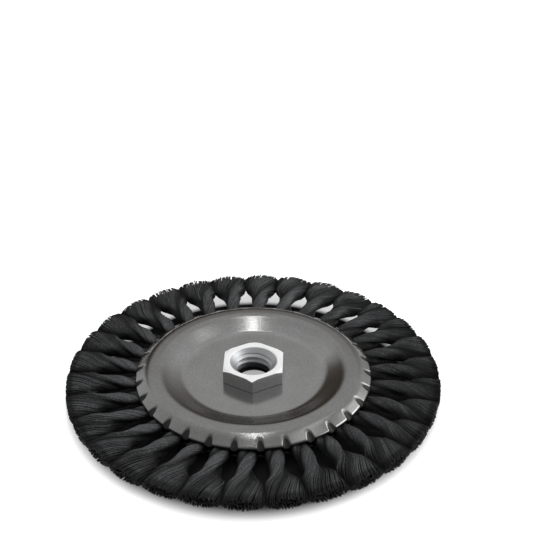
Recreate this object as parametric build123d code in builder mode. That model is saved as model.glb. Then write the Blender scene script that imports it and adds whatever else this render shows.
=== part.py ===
"""Knot-type wire wheel brush with a threaded hex hub.

A carrier disc holds thirty twisted wire knots. Two stamped cover plates clamp it, and the rolled neck of a hex arbor
nut rivets the stack together. Millimetres; origin on the bore axis at the middle of the carrier disc, +Z towards the
hex. The threaded bore is a plain wall at the thread's minor diameter.
"""

from build123d import *
from math import cos, pi, radians, sin, tan
import os

# ---------------------------------------------------------------- driving dimensions
# whole wheel
wheel_radius = 76.2  # 6 inch wheel
wheel_face_width = 7.6  # thickness at the flared tips
knot_count = 30
first_knot_angle = 2.6  # degrees from +X

# carrier disc
disc_thickness = 2.4
disc_edge_inset = 4.0  # disc edge inside the plates' rims
hole_edge_distance = 5.0  # hole circle inside the disc's edge

# cover plates, from the rim inwards
plate_thickness = 1.0
rim_radius = 48.0
skirt_width = 4.8  # sloping, crimped skirt
ring_width = 5.9  # raised ring over the hairpins
wall_width = 8.0  # slope down to the flat dish
bend_drop = 0.15  # fall across the raised ring
bend_radius = 2.0  # on the outer surface of every bend
crimp_depth = 1.2  # at the rim
crimp_length = 4.4  # radial run of each crimp
crimp_radius = 1.8  # inside radius of a crimp's trough

# arbor nut
hex_across_flats = 24.0
hex_height = 6.3
hex_corner_angle = -93.0  # one corner, degrees from +X
hex_chamfer_angle = 30.0
hex_chamfer_land = 0.4  # top circle outside the flats
shoulder_width = 2.0  # hex flat to neck
countersink_land = 2.25  # hex flat to the mouth of the bore
thread_minor_radius = 6.85  # 5/8-11 UNC
neck_wall = 1.1  # thin end of the neck, which is rolled over
relief_depth = 1.7  # unthreaded bore above the rolled lip's face
lip_width = 2.6  # rolled lip outside the neck
lip_thickness = 0.9

# wire bundles
leg_thickness = 2.2  # each leg of the hairpin, flattened by the plates
bundle_radius = 1.6  # where it passes through the carrier disc
leg_spread = 0.5  # how much the legs widen on each side where they meet
neck_thickness = 2.8  # rope pinched flat under the rims
pinch_inset = 0.4  # tightest section inside the rims
neck_run = 7.0  # radial run of the twisted neck, which the flare follows
rope_turns = 0.5  # turns of the two strands in the neck
tip_rounding = 3.4  # radial run over which the flared end is rounded off
tip_shrink = 1.6  # how much narrower the very end is than the flare

# clearances
neck_clearance = 0.12  # nut neck in the plates and the disc
hole_clearance = 0.15  # wire bundle in its hole
wire_clearance = 0.15  # hairpin leg on the disc
ring_clearance = 1.45  # hairpin leg under the raised ring
rim_clearance = 0.3  # pinched rope under the rims
crimp_gap = 3.8  # room between neighbouring ropes at the crimps
flare_gap = 1.1  # room between neighbouring flares

# ---------------------------------------------------------------- derived sizes
bend_start_radius = rim_radius - skirt_width
crest_radius = bend_start_radius - ring_width
dish_radius = crest_radius - wall_width
disc_radius = rim_radius - disc_edge_inset
hole_circle_radius = disc_radius - hole_edge_distance

disc_top = disc_thickness / 2
dish_height = disc_top + plate_thickness
leg_base = disc_top + wire_clearance
leg_top = leg_base + leg_thickness
crest_height = leg_top + ring_clearance + plate_thickness
bend_height = crest_height - bend_drop
rim_height = neck_thickness / 2 + rim_clearance + plate_thickness

hex_inradius = hex_across_flats / 2
hex_corner_radius = hex_inradius / cos(pi / 6)
hex_top = dish_height + hex_height
neck_radius = hex_inradius - shoulder_width
neck_bore_radius = neck_radius - neck_wall
neck_hole_radius = neck_radius + neck_clearance
lip_radius = neck_radius + lip_width
lip_face = -dish_height - lip_thickness
thread_bottom = lip_face + relief_depth
countersink_radius = hex_inradius - countersink_land
thread_top = hex_top - (countersink_radius - thread_minor_radius)  # 45 degree countersink

knot_pitch = 360 / knot_count
pinch_radius = rim_radius - pinch_inset
neck_end_radius = pinch_radius + neck_run
flare_radius = wheel_radius - tip_rounding
flare_width = 2 * pi * flare_radius / knot_count - flare_gap
neck_width = 2 * pi * rim_radius / knot_count - crimp_gap

os.makedirs("parts", exist_ok=True)


def save(piece, name):
    """Label a finished piece and write it as one STEP file."""
    piece.label = name
    export_step(piece, f"parts/{name}.step")


# ---------------------------------------------------------------- carrier disc
with BuildPart() as carrier_disc:
    with BuildSketch(Plane.XY.offset(-disc_top)):
        Circle(disc_radius)
        Circle(neck_hole_radius, mode=Mode.SUBTRACT)
        with PolarLocations(hole_circle_radius, knot_count, start_angle=first_knot_angle):
            Circle(bundle_radius + hole_clearance, mode=Mode.SUBTRACT)
    extrude(amount=disc_thickness)

save(carrier_disc.part, "carrier_disc")

# ---------------------------------------------------------------- crimp tools
# The bottom of each trough runs straight from the bend of the plate down to the rim. The tools lie over +X.
trough_start = Vector(rim_radius - crimp_length, 0, bend_height)
trough_end = Vector(rim_radius, 0, rim_height - crimp_depth)
trough_run = (trough_end - trough_start).normalized()
trough_up = Vector(-trough_run.Z, 0, trough_run.X)
tool_overrun = 3.0  # past both ends of the trough
trough_plane = Plane(
    origin=trough_start + trough_up * crimp_radius - trough_run * tool_overrun,
    x_dir=(0, 1, 0),
    z_dir=trough_run,
)
tool_length = (trough_end - trough_start).length + 2 * tool_overrun

outer_surface = [
    (neck_hole_radius, dish_height),
    (dish_radius, dish_height),
    (crest_radius, crest_height),
    (bend_start_radius, bend_height),
    (rim_radius, rim_height),
]

with BuildPart() as crimp_trough:
    with BuildSketch(trough_plane):
        Circle(crimp_radius)
    extrude(amount=tool_length)

with BuildPart() as crimp_pad:
    with BuildSketch(trough_plane):
        Circle(crimp_radius + plate_thickness)
    extrude(amount=tool_length)
    # only the part under the plate's outer surface and inside its rim is metal
    with BuildSketch(Plane.XZ):
        with BuildLine():
            Polyline(*outer_surface[1:], (rim_radius, 0), (dish_radius, 0), close=True)
        make_face()
    revolve(axis=Axis.Z, mode=Mode.INTERSECT)

# ---------------------------------------------------------------- cover plates
with BuildPart() as front_plate:
    with BuildSketch(Plane.XZ):
        with BuildLine():
            FilletPolyline(*outer_surface, radius=bend_radius)
            offset(amount=plate_thickness, side=Side.RIGHT)
        make_face()
    revolve(axis=Axis.Z)
    with PolarLocations(0, knot_count, start_angle=first_knot_angle + knot_pitch / 2):
        add(crimp_pad.part)
        add(crimp_trough.part, mode=Mode.SUBTRACT)

# the back plate is the same stamping, turned over about a line where both have no crimp
first_knot_line = Axis((0, 0, 0), (cos(radians(first_knot_angle)), sin(radians(first_knot_angle)), 0))
with BuildPart() as back_plate:
    add(front_plate.part.rotate(first_knot_line, 180))

save(front_plate.part, "front_plate")
save(back_plate.part, "back_plate")

# ---------------------------------------------------------------- arbor nut
with BuildPart() as arbor_nut:
    with BuildSketch(Plane.XY.offset(dish_height)):
        RegularPolygon(hex_inradius, 6, major_radius=False, rotation=hex_corner_angle)
    extrude(amount=hex_height)
    # corner chamfer, a cone that runs out clear of the corners
    chamfer_circle = hex_inradius + hex_chamfer_land
    cone_radius = hex_corner_radius + 1
    cone_depth = (cone_radius - chamfer_circle) * tan(radians(hex_chamfer_angle))
    with BuildSketch(Plane.XZ):
        with BuildLine():
            Polyline(
                (0, dish_height),
                (cone_radius, dish_height),
                (cone_radius, hex_top - cone_depth),
                (chamfer_circle, hex_top),
                (0, hex_top),
                close=True,
            )
        make_face()
    revolve(axis=Axis.Z, mode=Mode.INTERSECT)
    # neck, rolled over at the back
    with BuildSketch(Plane.XY.offset(dish_height)):
        Circle(neck_radius)
    extrude(amount=-2 * dish_height)
    with BuildSketch(Plane.XY.offset(-dish_height)):
        Circle(lip_radius)
    extrude(amount=-lip_thickness)
    fillet(edges().group_by(Axis.Z)[0], radius=lip_thickness / 2)
    # countersink, threaded bore and relief
    with BuildSketch(Plane.XZ):
        with BuildLine():
            Polyline(
                (0, hex_top),
                (countersink_radius, hex_top),
                (thread_minor_radius, thread_top),
                (thread_minor_radius, thread_bottom),
                (neck_bore_radius, thread_bottom),
                (neck_bore_radius, lip_face),
                (0, lip_face),
                close=True,
            )
        make_face()
    revolve(axis=Axis.Z, mode=Mode.SUBTRACT)
    fillet(edges().group_by(Axis.Z)[0], radius=lip_thickness / 2)

save(arbor_nut.part, "arbor_nut")

# ---------------------------------------------------------------- wire knots
# One knot along +X: a hairpin through the disc, then a rope that is pinched by the rims and flares at its cut end.
rope_start = disc_radius + wire_clearance
leg_end = rope_start + 0.5  # inside the rope
neck_steps = 5  # straight-sided spans of the twisted neck
flare_steps = 6  # and of the flare

with BuildPart() as knot_blank:
    with BuildSketch(Plane.YZ.offset(rope_start)):
        Ellipse(bundle_radius + leg_spread, leg_top)
    for step in range(neck_steps):
        along = step / neck_steps
        with BuildSketch(Plane.YZ.offset(pinch_radius + neck_run * along)):
            Ellipse(neck_width / 2, neck_thickness / 2, rotation=360 * rope_turns * along)
    for step in range(flare_steps + 1):
        along = step / flare_steps
        swell = sin(pi / 2 * along)
        width = neck_width + (flare_width - neck_width) * swell
        thickness = neck_thickness + (wheel_face_width - neck_thickness) * swell
        with BuildSketch(Plane.YZ.offset(neck_end_radius + (flare_radius - neck_end_radius) * along)):
            Ellipse(width / 2, thickness / 2, rotation=360 * rope_turns)
    with BuildSketch(Plane.YZ.offset(wheel_radius)):
        Ellipse((flare_width - tip_shrink) / 2, (wheel_face_width - tip_shrink) / 2, rotation=360 * rope_turns)
    loft(ruled=True)
    # the two legs of the hairpin
    for base in (leg_base, -leg_top):
        with BuildSketch(Plane.XY.offset(base)):
            with Locations((hole_circle_radius, 0)):
                Circle(bundle_radius)
            with Locations(((hole_circle_radius + leg_end) / 2, 0)):
                Rectangle(leg_end - hole_circle_radius, 2 * bundle_radius)
        extrude(amount=leg_thickness)
    # the bend through the disc
    with BuildSketch(Plane.XY.offset(-leg_base)):
        with Locations((hole_circle_radius, 0)):
            Circle(bundle_radius)
    extrude(amount=2 * leg_base)

for number in range(knot_count):
    with BuildPart() as knot:
        with Locations(Location((0, 0, 0), (0, 0, first_knot_angle + number * knot_pitch))):
            add(knot_blank.part)
    save(knot.part, f"knot_{number + 1:02d}")
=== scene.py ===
"""Looks of a twist-knot wheel brush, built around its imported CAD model.

Lengths are written in millimetres and turned into metres once, where a mesh is made.
Z is the wheel's axis, the nut faces +Z, and +Y points away from the camera.
"""

import math

import bpy
import numpy as np
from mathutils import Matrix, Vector


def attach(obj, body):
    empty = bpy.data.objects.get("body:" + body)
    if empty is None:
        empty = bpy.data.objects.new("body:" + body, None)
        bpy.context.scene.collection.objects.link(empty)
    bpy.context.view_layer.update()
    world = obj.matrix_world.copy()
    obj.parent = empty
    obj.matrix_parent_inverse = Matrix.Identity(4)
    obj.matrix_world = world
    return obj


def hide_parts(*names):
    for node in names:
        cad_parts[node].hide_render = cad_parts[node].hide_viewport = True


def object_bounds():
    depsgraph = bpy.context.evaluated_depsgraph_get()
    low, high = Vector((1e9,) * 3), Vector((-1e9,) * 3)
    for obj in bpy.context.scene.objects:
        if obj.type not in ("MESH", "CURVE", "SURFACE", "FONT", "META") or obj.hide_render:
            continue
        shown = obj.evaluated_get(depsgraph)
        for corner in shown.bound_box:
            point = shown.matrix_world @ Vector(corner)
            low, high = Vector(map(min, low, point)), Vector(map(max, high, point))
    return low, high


MM = 0.001
TURN = 2 * math.pi

# The pattern around the wheel, as in the CAD
KNOT_COUNT = 30
PITCH = TURN / KNOT_COUNT
FIRST_KNOT = math.radians(2.6)
FIRST_CRIMP = FIRST_KNOT + PITCH / 2

# Cover plates: radius and height of the outer surface, from the hole to the rim
PLATE_PROFILE = [(10.12, 2.2), (29.3, 2.2), (37.3, 6.0), (43.2, 5.85), (48.0, 2.7)]
PLATE_THICKNESS = 1.0
PLATE_BEND = 1.9
RIM_RADIUS = 48.0
RIM_ROUND = 0.3
CRIMP_START = (43.6, 5.85)
CRIMP_END = (48.0, 1.5)
CRIMP_RADIUS = 1.8
CRIMP_BLEND = 0.35

# Arbor nut
HEX_HALF_FLATS = 12.0
HEX_CORNER_ANGLE = math.radians(-93.0)
NUT_TOP = 8.5
NUT_SEAT = 2.2
NUT_BEVEL = 0.22
SEAT_INSET = 0.25
CHAMFER_RADIUS = 12.4
CHAMFER_SLOPE = math.tan(math.radians(30.0))
CHAMFER_BLEND = 0.12
TOP_RINGS = (12.75, 12.55, 12.4, 12.25, 12.05, 11.6, 11.0, 10.4)
MOUTH_RADIUS = 9.75
MOUTH_ROUND = [(0.22, 0.0), (0.08, 0.03), (-0.05, 0.12), (-0.22, 0.27)]  # outward, down
THREAD_MINOR = 6.85
THREAD_MAJOR = 7.94
THREAD_PITCH = 2.309
THREAD_FADE = 0.5
THREAD_END = -1.4
RELIEF_RADIUS = 8.9
NECK_RADIUS = 10.0
LIP_RADIUS = 12.6
LIP_TOP = -2.2
LIP_BOTTOM = -3.1
LIP_ROUND = 0.45

# Wire knots: radius from the axis, half width and half height of one knot
KNOT_SHAPE = [(44.4, 2.9, 2.3), (46.0, 3.0, 1.6), (47.6, 3.2, 1.25), (49.5, 3.4, 1.6),
              (52.0, 3.5, 2.3), (55.0, 3.5, 2.8), (58.5, 3.55, 3.1), (61.0, 3.7, 3.3),
              (63.0, 4.4, 3.4), (64.4, 5.8, 3.5), (65.6, 6.7, 3.55), (68.0, 7.15, 3.55),
              (76.2, 8.0, 2.6)]
TIP_RADIUS = 76.2
TIP_HEIGHT = 3.6  # no wire reaches further above or below the wheel's middle
TWIST_START = 47.6
TWIST_EASE = 1.7  # over 1 twists the bundle most at its start
GROOVE_WIDTH = 0.5  # radians round the bundle
WIRE_RADIUS = 0.26
WIRE_SIDES = 5
# Layers of wires: depth under the skin, how many, the radius where they start, points along each.
# The deeper ones only show at the tip.
WIRE_LAYERS = [(0.0, 50, 44.4, 22), (0.42, 50, 46.8, 18), (0.9, 36, 69.5, 4), (1.5, 32, 69.5, 4),
               (2.1, 26, 69.5, 4), (2.7, 20, 69.5, 4)]
LOOSE_START, LOOSE_RUN = 56.0, 20.0  # radius from which the wires come loose, and how far on
STRAY_ROOTS = (57.0, 66.0)  # radii between which stray wires leave the bundle
GROOVE_FADE = [(60.0, 1.0), (73.0, 0.2)]  # radius, share of the groove's depth
HEART_DEPTH = [(45.0, 0.3), (50.0, 0.4), (60.0, 0.75), (76.0, 0.95)]  # radius, depth under the skin
HEART_END = 2.2  # inside the tips
HEART_SIDES = 28
# One hairpin's centre line: radius from the axis and height
LEG_PATH = [(46.4, 0.5), (44.8, 1.9), (43.0, 2.4), (40.6, 2.4), (39.3, 1.8), (39.0, 0.9),
            (39.0, -0.9), (39.3, -1.8), (40.6, -2.4), (43.0, -2.4), (44.8, -1.9), (46.4, -0.5)]
LEG_RADIUS = 1.05
LEG_SIDES = 12
LEG_TONE = 0.3
FIRST_SEED = 4100

# Studio, in metres and watts
FLOOR_REACH = 4.0
CAMERA_PLACE = (0.0, -0.3804, 0.2845)
CAMERA_TARGET = (0.0108, 0.0, 0.0468)
CAMERA_LENS = 74.25
# Area lights: name, place, the point it faces, width, length, power
LIGHTS = [("strip", (0.0, 0.06, 0.85), (0.0, 0.06, 0.0), 0.030, 0.60, 0.69),
          ("side_right", (1.0, 0.12, 0.42), (0.0, 0.0, 0.0), 0.5, 0.5, 1.0)]


# ---------------------------------------------------------------- helpers

def add_to_scene(name, data):
    """A scene object that holds a mesh, light or camera."""
    obj = bpy.data.objects.new(name, data)
    bpy.context.scene.collection.objects.link(obj)
    return obj


def make_object(name, points, faces, material, sharp_angle):
    """A mesh object from points in millimetres, smooth shaded, with folds over sharp_angle degrees."""
    mesh = bpy.data.meshes.new(name)
    mesh.from_pydata((np.asarray(points) * MM).tolist(), [], faces)
    mesh.validate()
    mesh.polygons.foreach_set("use_smooth", [True] * len(mesh.polygons))
    mesh.set_sharp_from_angle(angle=math.radians(sharp_angle))
    mesh.materials.append(material)
    return add_to_scene(name, mesh)


def set_attribute(obj, name, values):
    """One number for each point of a mesh, read by its material."""
    attribute = obj.data.attributes.new(name, "FLOAT", "POINT")
    attribute.data.foreach_set("value", np.asarray(values, dtype=np.float32))


def grid_faces(rows, columns, closed_rows=False, start=0):
    """Quads of a grid of points whose columns run round and meet."""
    last = rows if closed_rows else rows - 1
    row, column = np.meshgrid(np.arange(last), np.arange(columns), indexing="ij")
    next_row, next_column = (row + 1) % rows, (column + 1) % columns
    quads = np.stack([row * columns + column, row * columns + next_column,
                      next_row * columns + next_column, next_row * columns + column], -1)
    return (quads.reshape(-1, 4) + start).tolist()


def polar(radius, angle, height):
    """Points of a ring or a grid of rings."""
    radius, angle, height = np.broadcast_arrays(radius, angle, height)
    return np.stack([radius * np.cos(angle), radius * np.sin(angle), height], -1)


def look_up(table, radius, column=1):
    """A value at a radius, from a table whose rows start with a radius."""
    return np.interp(radius, [row[0] for row in table], [row[column] for row in table])


def smooth_min(a, b, softness):
    """The lower of two heights, with a small round where they cross."""
    h = np.clip(0.5 + 0.5 * (b - a) / softness, 0, 1)
    return b + (a - b) * h - softness * h * (1 - h)


# ---------------------------------------------------------------- cover plates

def plate_height(radius):
    """Height of the plate's outer surface, its bends rounded by a sliding mean."""
    (bend_radius, bend_height), (rim_radius, rim_height) = PLATE_PROFILE[-2:]
    skirt_slope = (rim_height - bend_height) / (rim_radius - bend_radius)
    beyond = 4.0  # the skirt's line runs on past the rim, so that the mean doesn't bend it there
    profile = PLATE_PROFILE + [(rim_radius + beyond, rim_height + beyond * skirt_slope)]
    shifts = np.linspace(-PLATE_BEND, PLATE_BEND, 13)
    weights = 1 - (shifts / PLATE_BEND) ** 2 * 0.8
    total = sum(weight * look_up(profile, radius + shift) for shift, weight in zip(shifts, weights))
    return total / weights.sum()


def crimp_height(radius, angle):
    """Height of the round troughs pressed into the skirt, one between each two knots."""
    clear = 9.0  # above the plate, where there is no trough
    away = (angle - FIRST_CRIMP + PITCH / 2) % PITCH - PITCH / 2
    side = radius * np.sin(away)
    slope = (CRIMP_END[1] - CRIMP_START[1]) / (CRIMP_END[0] - CRIMP_START[0])
    bottom = CRIMP_START[1] + slope * (radius - CRIMP_START[0])
    inside = np.clip(1 - (side / CRIMP_RADIUS) ** 2, 0, 1)
    trough = bottom + CRIMP_RADIUS * (1 - np.sqrt(inside))
    return np.where(np.abs(side) < CRIMP_RADIUS, trough, bottom + clear)


def pressed_height(radius, angle):
    """Height of the crimped outer surface on rings of the given radii, and how deep it is pressed."""
    plain = np.broadcast_to(plate_height(radius)[:, None], (len(radius), len(angle)))
    pressed = smooth_min(plain, crimp_height(radius[:, None], angle), CRIMP_BLEND)
    return pressed, plain - pressed


def plate_radii():
    """Radii of the plate's rings, closer together at its bends and along its skirt."""
    return np.concatenate([np.linspace(PLATE_PROFILE[0][0], 27.5, 10), np.linspace(28, 31, 9),
                           np.linspace(31.8, 35.2, 6), np.linspace(35.6, 39, 10),
                           np.linspace(39.8, 42, 4), np.linspace(42.4, RIM_RADIUS - RIM_ROUND, 15)])


def plate_angles():
    """Angles round the plate, closer together across each crimp."""
    near = np.radians([-2.9, -2.5, -2.2, -1.9, -1.5, -1.0, -0.5, 0, 0.5, 1.0, 1.5, 1.9, 2.2, 2.5, 2.9])
    far = np.radians([3.6, 4.6, 6.0, 7.4, 8.4])
    one = np.concatenate([near, far])
    return np.concatenate([FIRST_CRIMP + k * PITCH + one for k in range(KNOT_COUNT)])


def rim_rings(height, angle):
    """Rings round the rim's rounded edge, from the outer face to the inner one."""
    rings = []
    for turn in np.linspace(0, math.pi, 7)[1:-1]:
        if turn < math.pi / 2 + 0.01:
            drop = RIM_ROUND * (1 - math.cos(turn))
        else:
            drop = PLATE_THICKNESS - RIM_ROUND * (1 + math.cos(turn))
        rings.append(polar(RIM_RADIUS - RIM_ROUND + RIM_ROUND * np.sin(turn), angle, height - drop))
    return rings


def cover_plate(name, material, flipped):
    """One stamped plate as a closed grid: outer face, rounded rim, inner face, hole edge."""
    angle, radii = plate_angles(), plate_radii()
    outer, depth = pressed_height(radii, angle)
    rim, rim_depth = pressed_height(np.array([RIM_RADIUS]), angle)
    slope = np.gradient(outer, radii, axis=0)
    lean = np.sqrt(1 + np.minimum(slope, 1.0) ** 2)
    inner = (outer - PLATE_THICKNESS * lean)[::-1]
    inner[0] = outer[-1] - PLATE_THICKNESS
    rounded = rim_rings(rim[0], angle)
    rings = ([polar(r, angle, z) for r, z in zip(radii, outer)] + rounded
             + [polar(r, angle, z) for r, z in zip(radii[::-1], inner)])
    points = np.array(rings)
    if flipped:
        line = np.array([math.cos(FIRST_KNOT), math.sin(FIRST_KNOT), 0.0])
        points = 2 * (points @ line)[..., None] * line - points
    faces = grid_faces(len(rings), len(angle), closed_rows=True)
    obj = make_object(name, points.reshape(-1, 3), faces, material, 50)
    # painted shade in the crimps, round the rim and all over the hidden face
    painted_shade = np.vstack([depth, np.repeat(rim_depth + 0.3, len(rounded), 0), np.ones_like(inner)])
    set_attribute(obj, "painted_shade", np.clip(painted_shade, 0, 1).ravel())
    return obj


# ---------------------------------------------------------------- arbor nut

def nut_angles():
    """Angles round the nut that fall on its corners and where the chamfer starts."""
    half = np.array([0, 4, 8, 11.5, 14, 16, 19, 22, 25, 27, 28.4, 29.3])
    one = np.concatenate([-half[:0:-1], half, [30.0]])
    flats = HEX_CORNER_ANGLE + math.radians(30) + np.arange(6) * TURN / 6
    return np.concatenate([f + np.radians(one) for f in flats]), np.tile(np.radians(one), 6)


def thread_radius(angle, height):
    """The bore: a countersink, then an inside thread that fades at its lower end."""
    phase = (height / THREAD_PITCH - angle / TURN) % 1.0
    zigzag = (0.5 - np.abs(phase - 0.5)) * 2
    vee = np.clip(zigzag * 1.35 - 0.2, 0, 1)  # cut flat at its crests and roots
    fade = np.clip((height - THREAD_END) / THREAD_FADE, 0, 1)
    threaded = THREAD_MINOR + (THREAD_MAJOR - THREAD_MINOR) * vee * fade
    countersink = MOUTH_RADIUS - (NUT_TOP - height)
    return np.maximum(threaded, countersink)


def nut_top_height(radius):
    """The flat top of the nut, and the cone that cuts its corners."""
    cone = NUT_TOP - (radius - CHAMFER_RADIUS) * CHAMFER_SLOPE
    return smooth_min(np.full_like(radius, NUT_TOP), cone, CHAMFER_BLEND)


def nut_outside(side, angle):
    """Rings up the six flats, round the bevel and in over the top, closer at the chamfer's edge."""
    rings = [polar(side - SEAT_INSET, angle, NUT_SEAT)]
    rings += [polar(side, angle, z) for z in (NUT_SEAT + 0.15, 3.6, 5.2, 6.6)]
    shoulder = nut_top_height(side - NUT_BEVEL)
    for turn in np.linspace(0, math.pi / 2, 5):
        rings.append(polar(side - NUT_BEVEL * (1 - math.cos(turn)), angle,
                           shoulder - NUT_BEVEL * (1 - math.sin(turn))))
    # where a flat cuts a ring off, it still lies a little inside the one before
    for mark in TOP_RINGS:
        radius = np.minimum(side - NUT_BEVEL - 0.02 * (13.5 - mark), mark)
        rings.append(polar(radius, angle, nut_top_height(radius)))
    return rings


def nut_bore(angle):
    """Rings over the rounded mouth, down the thread and out into the relief."""
    rings = [polar(MOUTH_RADIUS + out, angle, NUT_TOP - drop) for out, drop in MOUTH_ROUND]
    heights = np.concatenate([np.linspace(NUT_TOP - 0.5, 6.9, 8), np.linspace(6.75, THREAD_END, 54)])
    rings += [polar(thread_radius(angle, z), angle, z) for z in heights]
    relief = ((THREAD_MINOR + 0.3, THREAD_END - 0.05), (RELIEF_RADIUS - 0.1, THREAD_END - 0.1),
              (RELIEF_RADIUS, THREAD_END - 0.25), (RELIEF_RADIUS, LIP_BOTTOM + 0.5))
    return rings + [polar(radius, angle, z) for radius, z in relief]


def nut_neck(angle):
    """Rings round the rolled lip and up the neck to the nut's seat."""
    rings = []
    for turn in np.linspace(0, math.pi / 2, 5):
        rings.append(polar(RELIEF_RADIUS + LIP_ROUND * (1 - math.cos(turn)), angle,
                           LIP_BOTTOM + LIP_ROUND * (1 - math.sin(turn))))
    half_lip = (LIP_TOP - LIP_BOTTOM) / 2
    for turn in np.linspace(0, math.pi, 8):
        rings.append(polar(LIP_RADIUS - half_lip * (1 - math.sin(turn)), angle,
                           LIP_BOTTOM + half_lip * (1 - math.cos(turn))))
    neck = ((NECK_RADIUS + 0.2, LIP_TOP), (NECK_RADIUS, LIP_TOP + 0.2),
            (NECK_RADIUS, NUT_SEAT - 0.2), (NECK_RADIUS + 0.15, NUT_SEAT))
    return rings + [polar(radius, angle, z) for radius, z in neck]


def arbor_nut(material):
    """The hex nut with its chamfered corners, threaded bore and rolled neck, in one skin."""
    angle, away = nut_angles()
    sharp = 400.0  # how tightly the corners between the flats are rounded
    reach = np.exp(sharp * np.cos(away)) + np.exp(sharp * np.cos(TURN / 6 - np.abs(away)))
    side = HEX_HALF_FLATS / (np.log(reach) / sharp)
    rings = nut_outside(side, angle) + nut_bore(angle) + nut_neck(angle)
    faces = grid_faces(len(rings), len(angle), closed_rows=True)
    return make_object("nut_body", np.array(rings).reshape(-1, 3), faces, material, 32)


# ---------------------------------------------------------------- wire knots

def tubes(paths, radii, sides, tone, start):
    """Round wires along rows of points, capped at both ends: points, faces and tones."""
    count, steps, _ = paths.shape
    along = np.gradient(paths, axis=1)
    along /= np.linalg.norm(along, axis=2, keepdims=True)
    across = np.cross(along, np.array([0.03, 0.05, 1.0]))
    across /= np.linalg.norm(across, axis=2, keepdims=True)
    upward = np.cross(across, along)
    turn = np.arange(sides) * TURN / sides
    ring = (np.cos(turn)[:, None] * across[:, :, None, :] + np.sin(turn)[:, None] * upward[:, :, None, :])
    points = paths[:, :, None, :] + ring * radii[:, :, None, None]
    faces = []
    for k in range(count):
        first = start + k * steps * sides
        faces += grid_faces(steps, sides, start=first)
        faces += end_caps(steps, sides, first)
    tone = np.broadcast_to(np.asarray(tone).reshape(count, -1), (count, steps))
    return points.reshape(-1, 3), faces, np.repeat(tone.ravel(), sides)


def end_caps(steps, sides, start):
    """The two faces that close a tube."""
    last = start + (steps - 1) * sides
    return [list(range(start, start + sides))[::-1], list(range(last, last + sides))]


def knot_size(radius):
    """Half the width and half the height of a knot at a radius from the axis."""
    return look_up(KNOT_SHAPE, radius, 1), look_up(KNOT_SHAPE, radius, 2)


def painted_valley_shade(radius, side, height, seam):
    """Painted light and shade: lighter on the crown of a knot, darker down its sides and in its groove."""
    crown = np.clip((np.abs(height) / knot_size(radius)[1] - 0.3) / 0.55, 0, 1)
    edge = np.clip(np.abs(side) / (radius * math.sin(PITCH / 2)), 0, 1) ** 4
    shade = crown ** 2 * (3 - 2 * crown) * (1 - 0.7 * edge)
    return 0.08 + 0.92 * shade * (1 - 0.75 * seam)


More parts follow.
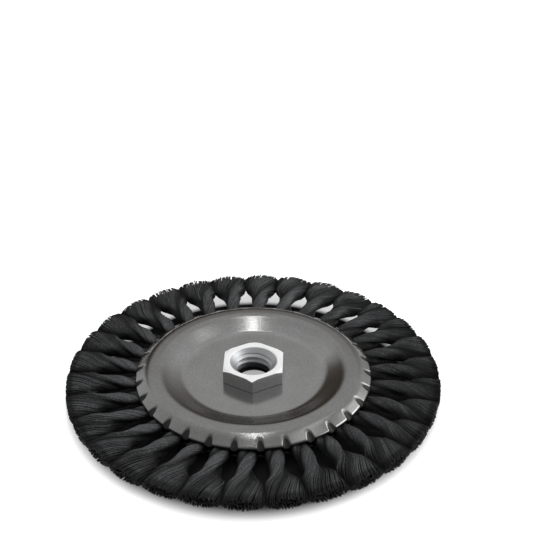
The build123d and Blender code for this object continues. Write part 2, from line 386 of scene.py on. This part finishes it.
class Knot:
    """One twisted bundle of wires: its own twist, groove and lean, gathered into one mesh."""

    def __init__(self, index):
        self.rng = np.random.default_rng(FIRST_SEED + index)
        self.middle = FIRST_KNOT + index * PITCH
        self.phase = self.rng.normal(0, 0.22)
        self.turns = self.rng.normal(0.62, 0.05)
        self.groove = self.rng.uniform(0.36, 0.5)
        self.lean = self.rng.normal(0, 0.18)
        self.reach = TIP_RADIUS - self.rng.uniform(0.0, 0.35)
        self.points, self.faces, self.tones = [], [], []
        self.total = 0

    def add(self, points, faces, tones):
        """Takes in one more part, whose faces already count from self.total."""
        self.points.append(points)
        self.faces.extend(faces)
        self.tones.append(tones)
        self.total += len(points)

    def section(self, radius, around, depth):
        """Where a wire crosses each radius: its side, its height and how close it is to a groove.

        around is its angle in the bundle before the twist, and depth how far it lies under the skin.
        """
        width, height = knot_size(radius)
        part = np.clip((radius - TWIST_START) / (TIP_RADIUS - TWIST_START), -0.2, 1)
        twist = self.phase + TURN * self.turns * (1 - (1 - part) ** TWIST_EASE)
        from_seam = math.pi / 2 - np.abs((around + math.pi / 2) % math.pi - math.pi / 2)
        seam = np.exp(-(from_seam / GROOVE_WIDTH) ** 2)
        lobe = 1 - self.groove * seam * look_up(GROOVE_FADE, radius)
        spin = around + twist
        return ((width - depth) * lobe * np.cos(spin), (height - depth) * lobe * np.sin(spin),
                np.broadcast_to(seam, lobe.shape))

    def place(self, radius, side, height):
        """Knot coordinates to wheel coordinates."""
        outward = np.array([math.cos(self.middle), math.sin(self.middle), 0.0])
        across = np.array([-math.sin(self.middle), math.cos(self.middle), 0.0])
        spread = radius - side ** 2 / (2 * radius)
        return (spread[..., None] * outward + side[..., None] * across
                + height[..., None] * np.array([0, 0, 1.0]))

    def add_heart(self):
        """The dark, solid middle of the bundle, which shows between the wires."""
        steps = np.linspace(HEART_DEPTH[0][0], self.reach - HEART_END, 18)
        around = np.arange(HEART_SIDES) * TURN / HEART_SIDES
        depth = look_up(HEART_DEPTH, steps)
        side, height, _ = self.section(steps[:, None], around[None, :], depth[:, None])
        points = self.place(np.broadcast_to(steps[:, None], side.shape), side, height).reshape(-1, 3)
        faces = grid_faces(len(steps), HEART_SIDES) + end_caps(len(steps), HEART_SIDES, 0)
        # tone 0, the darkest wire colour: painted shade inside the bundle
        self.add(points, faces, np.zeros(len(points)))

    def add_hairpin(self):
        """The two legs and the bend through the carrier disc."""
        leg = np.array(LEG_PATH)
        path = self.place(leg[:, 0], np.zeros(len(leg)), leg[:, 1])[None]
        thick = np.full((1, len(leg)), LEG_RADIUS)
        self.add(*tubes(path, thick, LEG_SIDES, LEG_TONE, self.total))

    def add_layer(self, depth, count, root, steps):
        """A layer of single wires, each with its own end, and looser towards the tip."""
        rng = self.rng
        around = (np.arange(count) + rng.uniform(0, 1)) * TURN / count + rng.normal(0, 0.022, count)
        end = self.reach - np.abs(rng.normal(0, 0.28, count)) - 0.25 * (depth == 0)
        radius = root + (end[:, None] - root) * np.linspace(0, 1, steps)
        loose = np.clip((radius - LOOSE_START) / LOOSE_RUN, 0, 1) ** 2
        deep = depth + rng.normal(0, 0.05, count)[:, None] + rng.normal(0, 0.20, count)[:, None] * loose
        side, height, seam = self.section(radius, around[:, None], np.maximum(deep, -0.12))
        side = side + rng.normal(0, 0.16, count)[:, None] * loose + self.lean * loose
        half_gap = radius * math.sin(PITCH / 2) - 0.05
        side = np.clip(side, -half_gap, half_gap)
        height = np.clip(height, -TIP_HEIGHT, TIP_HEIGHT)
        thick = np.full(radius.shape, WIRE_RADIUS)
        thick[:, 0] *= 0.8
        # each wire's random tone, times painted light on the knot's crown and painted shade down its sides
        # and in its groove
        tone = rng.uniform(0.55, 1, count)[:, None] * painted_valley_shade(radius, side, height, seam)
        # painted shade on the cut ends: the last two points of each wire are darkened
        tone[:, -2:] *= 0.3
        self.add(*tubes(self.place(radius, side, height), thick, WIRE_SIDES, tone, self.total))

    def add_strays(self):
        """Up to three wires that have sprung out."""
        rng = self.rng
        count = rng.integers(0, 4)
        if count == 0:
            return
        root = rng.uniform(*STRAY_ROOTS, count)
        part = np.linspace(0, 1, 10)
        radius = root[:, None] + (self.reach - rng.uniform(0, 1.5, count) - root)[:, None] * part
        around = rng.uniform(0, TURN, count)[:, None]
        side, height, _ = self.section(radius, around, -0.1)
        out = part ** 2 * rng.uniform(0.4, 1.6, count)[:, None]
        side = side + out * np.cos(around)
        height = np.clip(height + out * np.sin(around) * 0.5, -TIP_HEIGHT, TIP_HEIGHT)
        thick = np.full(radius.shape, WIRE_RADIUS)
        self.add(*tubes(self.place(radius, side, height), thick, WIRE_SIDES,
                        rng.uniform(0.5, 1, count), self.total))


def wire_knot(index, material):
    """One knot as an object, each point with its wire's tone and painted light and shade."""
    knot = Knot(index)
    knot.add_heart()
    knot.add_hairpin()
    for layer in WIRE_LAYERS:
        knot.add_layer(*layer)
    knot.add_strays()
    obj = make_object(f"wire_knot_{index + 1:02d}", np.vstack(knot.points), knot.faces, material, 60)
    set_attribute(obj, "wire_tone_and_painted_shade", np.concatenate(knot.tones))
    return obj


# ---------------------------------------------------------------- materials

class Graph:
    """Short calls that build one node material."""

    def __init__(self, tree):
        self.tree = tree
        self.tree.nodes.clear()

    def add(self, kind, output=0, settings=None, **inputs):
        """Adds a node; an input takes a number, a colour or another node's output."""
        node = self.tree.nodes.new(kind)
        for key, value in (settings or {}).items():
            setattr(node, key, value)
        for key, value in inputs.items():
            index = int(key[1:]) if key[0] == "i" and key[1:].isdigit() else key.replace("_", " ")
            self.put(node.inputs[index], value)
        return node.outputs[output]

    def put(self, socket, value):
        """Links a node's output to a socket, or sets the socket's own value."""
        if isinstance(value, bpy.types.NodeSocket):
            self.tree.links.new(value, socket)
        else:
            socket.default_value = value

    def place(self):
        """Object coordinates in millimetres."""
        where = self.add("ShaderNodeTexCoord", output="Object")
        return self.add("ShaderNodeVectorMath", settings={"operation": "SCALE"}, i0=where, Scale=1000.0)

    def noise(self, where, scale, detail, rough, stretch=None):
        """Noise from 0 to 1, drawn out along the axes that stretch makes small."""
        if stretch:
            where = self.add("ShaderNodeVectorMath", settings={"operation": "MULTIPLY"},
                             i0=where, i1=stretch)
        return self.add("ShaderNodeTexNoise", Vector=where, Scale=scale, Detail=detail, Roughness=rough)

    def math(self, operation, a, b=0.0):
        """One sum."""
        return self.add("ShaderNodeMath", settings={"operation": operation}, i0=a, i1=b)

    def times(self, a, b):
        """The product of two values, or where both of two masks hold."""
        return self.math("MULTIPLY", a, b)

    def span(self, value, low, high, to_low, to_high):
        """Moves a range of values to another, clamped."""
        return self.add("ShaderNodeMapRange", Value=value, From_Min=low, From_Max=high,
                        To_Min=to_low, To_Max=to_high)

    def mix(self, share, a, b):
        """Mixes two colours."""
        return self.add("ShaderNodeMix", output=2, settings={"data_type": "RGBA"}, i0=share, i6=a, i7=b)

    def split(self, where):
        """The three parts of a point or direction."""
        node = self.tree.nodes.new("ShaderNodeSeparateXYZ")
        self.put(node.inputs[0], where)
        return node.outputs

    def polar(self, where):
        """Distance from the wheel's axis, the turn about it, and the height."""
        x, y, height = self.split(where)
        radius = self.math("SQRT", self.math("ADD", self.times(x, x), self.times(y, y)))
        return radius, self.math("ARCTAN2", y, x), height

    def rings(self, radius, turn, height, scale, stretch):
        """Noise drawn out round the axis, as a lathe or a press leaves it."""
        spot = self.add("ShaderNodeCombineXYZ", X=radius, Y=self.times(turn, stretch), Z=height)
        return self.noise(spot, scale, 4.0, 0.6)

    def bump(self, height, strength, distance, normal=None):
        """Turns a height into a normal."""
        extra = {"Normal": normal} if normal else {}
        return self.add("ShaderNodeBump", Height=height, Strength=strength, Distance=distance, **extra)


def grey(value, warm=0.0):
    """A grey, a little warm or cool."""
    return (value * (1 + warm), value, value * (1 - warm), 1.0)


def new_material(name):
    """An empty node material and its graph."""
    material = bpy.data.materials.new(name)
    material.use_nodes = True
    return material, Graph(material.node_tree)


def finish_material(graph, **shader):
    """Ends a material with a Principled shader."""
    surface = graph.add("ShaderNodeBsdfPrincipled", **shader)
    output = graph.tree.nodes.new("ShaderNodeOutputMaterial")
    graph.tree.links.new(surface, output.inputs["Surface"])


def plate_material():
    """Satin plated sheet: fine grain, press rings, stains, scratches, a worn rim and painted shade in the
    crimps, round the rim and on the hidden face.
    """
    material, g = new_material("plated_sheet")
    where = g.place()
    radius, turn, height = g.polar(where)
    grain = g.noise(where, 3.2, 2.0, 0.7)
    cloud = g.noise(where, 0.11, 4.0, 0.6)
    speck = g.noise(where, 1.3, 3.0, 0.75)
    ring = g.rings(radius, turn, height, 1.6, 1.2)
    scratch = g.span(g.noise(where, 0.9, 2.0, 0.5, stretch=(1.0, 0.06, 1.0)), 0.66, 0.72, 0.0, 1.0)
    worn = g.span(radius, RIM_RADIUS - 1.6, RIM_RADIUS + 0.2, 0.0, 1.0)
    worn = g.times(worn, g.span(grain, 0.4, 0.65, 0.3, 1.0))
    # painted shade mask: darkens and roughens the crimps, the rim and the hidden face
    painted_shade = g.add("ShaderNodeAttribute", output="Fac", settings={"attribute_name": "painted_shade"})
    painted_shade = g.span(painted_shade, 0.03, 0.35, 0.0, 1.0)
    # the sheet itself
    base = g.mix(g.span(cloud, 0.35, 0.7, 0.0, 1.0), grey(0.25, 0.012), grey(0.30))
    base = g.mix(g.span(grain, 0.3, 0.7, 0.0, 0.55), base, grey(0.36))
    base = g.mix(g.times(scratch, 0.25), base, grey(0.38))
    base = g.mix(g.span(speck, 0.35, 0.65, 0.5, 0.0), base, grey(0.19, 0.02))
    # darker on the raised ring, bright at the worn rim, and black with painted shade in the crimps, round
    # the rim and on the hidden face
    base = g.mix(g.span(radius, 33.0, 37.0, 0.0, 0.24), base, grey(0.06, 0.03))
    base = g.mix(g.times(worn, 0.2), base, grey(0.3))
    base = g.mix(g.times(painted_shade, 0.92), base, grey(0.022, 0.02))
    rough = g.span(g.math("ADD", g.times(grain, 0.5), g.times(ring, 0.5)), 0.3, 0.7, 0.15, 0.23)
    rough = g.math("ADD", rough, g.times(painted_shade, 0.3))
    normal = g.bump(grain, 0.10, 0.00008)
    normal = g.bump(ring, 0.03, 0.00010, normal)
    finish_material(g, Base_Color=base, Metallic=1.0, Roughness=rough, Normal=normal)
    return material


def nut_material():
    """Zinc on turned steel, with painted light and shade: near white on top, a darker metal mirror on the
    flats picked by the way they face, darker down the bore, and a painted shadow deep in it.
    """
    material, g = new_material("zinc_plated_nut")
    where = g.place()
    radius, turn, height = g.polar(where)
    ring = g.rings(radius, turn, height, 5.5, 0.8)
    cloud = g.noise(where, 0.35, 4.0, 0.6)
    fine = g.noise(where, 6.0, 2.0, 0.6)
    # painted shade: the bore's walls darker than the top
    bore = g.span(radius, MOUTH_RADIUS - 0.3, MOUTH_RADIUS - 0.05, 1.0, 0.0)
    # painted shadow in the bore, full below 1.0 mm up and gone by 3.6 mm
    deep = g.times(bore, g.span(height, 1.0, 3.6, 1.0, 0.0))
    # painted shade on the flats: faces that point sideways turn into a darker metal mirror than the top
    _, _, facing = g.split(g.add("ShaderNodeNewGeometry", output="Normal"))
    flank = g.times(g.span(facing, 0.35, 0.7, 1.0, 0.0), g.span(radius, 11.0, 11.6, 0.0, 1.0))
    base = g.mix(g.span(cloud, 0.35, 0.7, 0.0, 1.0), grey(0.95, -0.004), grey(0.99))
    base = g.mix(g.span(fine, 0.35, 0.7, 0.0, 0.2), base, grey(0.86))
    base = g.mix(bore, base, grey(0.42, -0.02))
    base = g.mix(deep, base, grey(0.022, -0.02))
    base = g.mix(flank, base, grey(0.48))
    metal = g.span(g.math("MAXIMUM", bore, flank), 0.0, 1.0, 0.15, 1.0)
    rough = g.math("SUBTRACT", g.span(ring, 0.3, 0.7, 0.40, 0.52), g.times(flank, 0.16))
    normal = g.bump(ring, 0.14, 0.00008)
    finish_material(g, Base_Color=base, Metallic=metal, Roughness=rough, Normal=normal)
    return material


def disc_material():
    """Plain carrier steel, dull between the plates."""
    material, g = new_material("carrier_steel")
    where = g.place()
    radius, turn, height = g.polar(where)
    cloud = g.noise(where, 0.25, 4.0, 0.6)
    ring = g.rings(radius, turn, height, 2.0, 1.0)
    base = g.mix(g.span(cloud, 0.35, 0.7, 0.0, 1.0), grey(0.15, 0.02), grey(0.21))
    rough = g.span(ring, 0.3, 0.7, 0.38, 0.55)
    finish_material(g, Base_Color=base, Metallic=1.0, Roughness=rough, Normal=g.bump(ring, 0.2, 0.0001))
    return material


def wire_material():
    """Dark spring steel wire: each wire a little lighter or darker, with painted light on the knots'
    crowns and painted shade down their sides, oily and dusty in patches.
    """
    material, g = new_material("knot_wire")
    where = g.place()
    # each wire's random tone together with the painted light and shade of the knot's crown, sides and
    # groove
    tone = g.add("ShaderNodeAttribute", output="Fac", settings={"attribute_name": "wire_tone_and_painted_shade"})
    patch = g.noise(where, 0.16, 3.0, 0.6)
    fleck = g.noise(where, 1.5, 4.0, 0.75)
    base = g.mix(tone, grey(0.003, -0.03), grey(0.098, -0.03))
    base = g.mix(g.span(patch, 0.4, 0.7, 0.0, 0.35), base, grey(0.010, 0.05))
    base = g.mix(g.times(g.span(fleck, 0.52, 0.66, 0.0, 0.75), tone), base, grey(0.26, -0.03))
    rough = g.span(fleck, 0.3, 0.7, 0.52, 0.68)
    normal = g.bump(fleck, 0.15, 0.00005)
    finish_material(g, Base_Color=base, Metallic=0.75, Roughness=rough, Normal=normal)
    return material


def floor_material():
    """Plain white floor with painted glow where it is seen through the slots at the back, round the wheel
    and through the bore, and a painted shadow under the wheel.
    """
    material, g = new_material("floor_white")
    where = g.place()
    radius, _, _ = g.polar(where)
    _, y, _ = g.split(where)
    # painted glow seen through the slots at the back, round the outside, and through the bore
    slots = g.times(g.span(y, 15.0, 45.0, 0.0, 0.6), g.span(radius, 63.5, 66.5, 0.0, 1.0))
    around = g.times(g.span(radius, 71.0, 80.0, 0.0, 0.9), g.span(y, -80.0, -66.0, 0.7, 1.0))
    bore = g.span(radius, 15.0, 20.0, 0.3, 0.0)
    glow = g.math("MAXIMUM", g.math("MAXIMUM", slots, around), bore)
    # painted shadow in a ring under the wheel, from about 25 to 67 mm out
    shade = g.times(g.span(radius, 63.0, 67.0, 1.0, 0.0), g.span(radius, 25.0, 35.0, 0.0, 1.0))
    base = g.mix(shade, grey(0.88), grey(0.006))
    finish_material(g, Base_Color=base, Roughness=0.9, Emission_Color=(1, 1, 1, 1), Emission_Strength=glow)
    return material


# ---------------------------------------------------------------- studio

def studio_world():
    """Soft surroundings, which the metal mirrors: white to the eye, brighter behind than in front."""
    world = bpy.data.worlds.new("studio")
    world.use_nodes = True
    bpy.context.scene.world = world
    g = Graph(world.node_tree)
    x, y, z = g.split(g.add("ShaderNodeTexCoord", output="Generated"))
    colour = g.mix(g.span(y, -0.6, 0.6, 0.0, 1.0), grey(0.42), grey(0.88))
    # a window at the right, and a softer one above it
    window = g.times(g.span(x, 0.70, 0.84, 0.0, 1.0), g.span(z, 0.28, 0.42, 0.0, 1.0))
    colour = g.mix(window, colour, grey(4.4))
    upper = g.times(g.span(x, 0.28, 0.42, 0.0, 1.0), g.span(z, 0.80, 0.86, 0.0, 1.0))
    colour = g.mix(upper, colour, grey(1.5))
    # an even patch overhead, and brown dark low down behind the wheel
    colour = g.mix(g.span(z, 0.93, 0.985, 0.0, 1.0), colour, grey(0.68))
    low = g.times(g.span(z, 0.44, 0.60, 1.0, 0.0), g.span(x, -0.60, -0.48, 0.0, 1.0))
    behind = g.span(g.math("ADD", y, g.times(x, -0.5)), 0.40, 0.95, 0.0, 1.0)
    colour = g.mix(g.times(low, behind), colour, (0.105, 0.086, 0.071, 1))
    seen = g.add("ShaderNodeLightPath", output="Is Camera Ray")
    colour = g.mix(seen, colour, grey(1.0))
    background = g.add("ShaderNodeBackground", Color=colour, Strength=1.0)
    output = g.tree.nodes.new("ShaderNodeOutputWorld")
    g.tree.links.new(background, output.inputs["Surface"])


def aim(obj, place, target):
    """Puts a light or camera in its place, facing a point."""
    obj.location = place
    obj.rotation_euler = (Vector(target) - Vector(place)).to_track_quat("-Z", "Y").to_euler()


def area_light(name, place, target, width, length, power):
    """A rectangular soft light aimed at a point."""
    data = bpy.data.lights.new(name, "AREA")
    data.shape = "RECTANGLE"
    data.size, data.size_y, data.energy = width, length, power
    aim(add_to_scene(name, data), place, target)


def studio_floor(height):
    """A flat floor under the wheel."""
    mesh = bpy.data.meshes.new("floor")
    corners = [(-1, -1), (1, -1), (1, 1), (-1, 1)]
    mesh.from_pydata([(x * FLOOR_REACH, y * FLOOR_REACH, height) for x, y in corners], [], [(0, 1, 2, 3)])
    mesh.materials.append(floor_material())
    floor = add_to_scene("floor", mesh)


def studio_camera():
    """The camera, and a plain view of its picture."""
    data = bpy.data.cameras.new("camera")
    data.lens = CAMERA_LENS
    data.clip_start = 0.01
    camera = add_to_scene("camera", data)
    aim(camera, CAMERA_PLACE, CAMERA_TARGET)
    bpy.context.scene.camera = camera
    bpy.context.scene.view_settings.view_transform = "Standard"


def studio(floor_height):
    """Floor, world, lights and camera."""
    studio_floor(floor_height)
    studio_world()
    for light in LIGHTS:
        area_light(*light)
    studio_camera()


# ---------------------------------------------------------------- assembly

def dress(obj, node):
    """Fixes a piece to the wheel in place of its CAD node."""
    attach(obj, "root")
    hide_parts(node)


def build(nodes):
    """Puts every piece in its place among the frame's nodes."""
    plate, wire = plate_material(), wire_material()
    dress(cover_plate("front_cover_plate", plate, False), "front_plate")
    dress(cover_plate("back_cover_plate", plate, True), "back_plate")
    dress(arbor_nut(nut_material()), "arbor_nut")
    for index in range(KNOT_COUNT):
        dress(wire_knot(index, wire), f"knot_{index + 1:02d}")
    disc = nodes["carrier_disc"]
    disc.data.materials.clear()
    disc.data.materials.append(disc_material())


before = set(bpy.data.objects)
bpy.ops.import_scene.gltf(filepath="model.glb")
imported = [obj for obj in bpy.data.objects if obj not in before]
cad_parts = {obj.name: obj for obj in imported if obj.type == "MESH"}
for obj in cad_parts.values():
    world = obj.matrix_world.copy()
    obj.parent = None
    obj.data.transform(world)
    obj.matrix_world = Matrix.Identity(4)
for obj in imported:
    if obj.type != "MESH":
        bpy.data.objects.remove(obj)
cad_box = [list(corner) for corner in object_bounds()]
build(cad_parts)
studio(cad_box[0][2])
